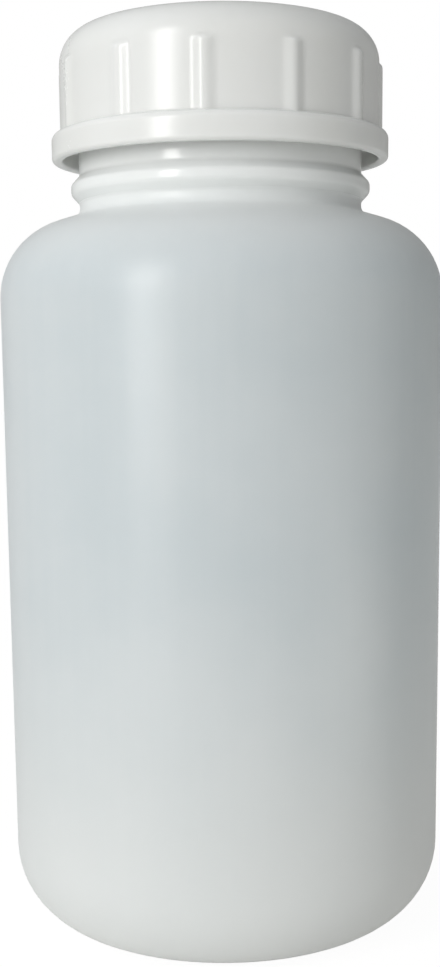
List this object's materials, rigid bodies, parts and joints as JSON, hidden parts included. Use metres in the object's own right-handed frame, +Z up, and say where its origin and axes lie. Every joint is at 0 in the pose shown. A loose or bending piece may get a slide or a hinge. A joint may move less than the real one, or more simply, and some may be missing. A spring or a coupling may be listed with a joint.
{
  "type": "reagent bottle",
  "caption": "Wide-mouth round plastic reagent bottle with sloping shoulder, neck bead and ribbed white screw cap over a plug seal; stores and dispenses laboratory reagents.",
  "frame": {"origin": "centre of the standing ring under the base, on the surface the bottle stands on", "axes": "+Z up along the bottle's axis; -Y is the side the picture is taken from and +X is to its right"},
  "size_m": [0.077, 0.077, 0.157],
  "materials": {
    "natural_polyethylene": "uncoloured milky translucent polyethylene, satin, blow moulded",
    "white_cap": "white injection-moulded plastic, glossy",
    "soft_seal": "uncoloured soft polyethylene, semi-matt"
  },
  "bodies": {
    "bottle": {"bottle": "natural_polyethylene"},
    "plug": {"sealing_plug": "soft_seal"},
    "cap": {"screw_cap": "white_cap"}
  },
  "joints": [
    {"name": "seal_lift", "type": "slide", "parent": "bottle", "child": "plug", "axis": [0, 0, 1], "range_m": [0, 0.0251]},
    {"name": "cap_turn", "type": "hinge", "parent": "plug", "child": "cap", "pos_m": [0, 0, 0.153], "axis": [0, 0, 1], "range_deg": [0, 1800]}
  ],
  "couplings": [
    {"joint": "seal_lift", "follows": "cap_turn", "m_per_rad": 0.00079577}
  ]
}
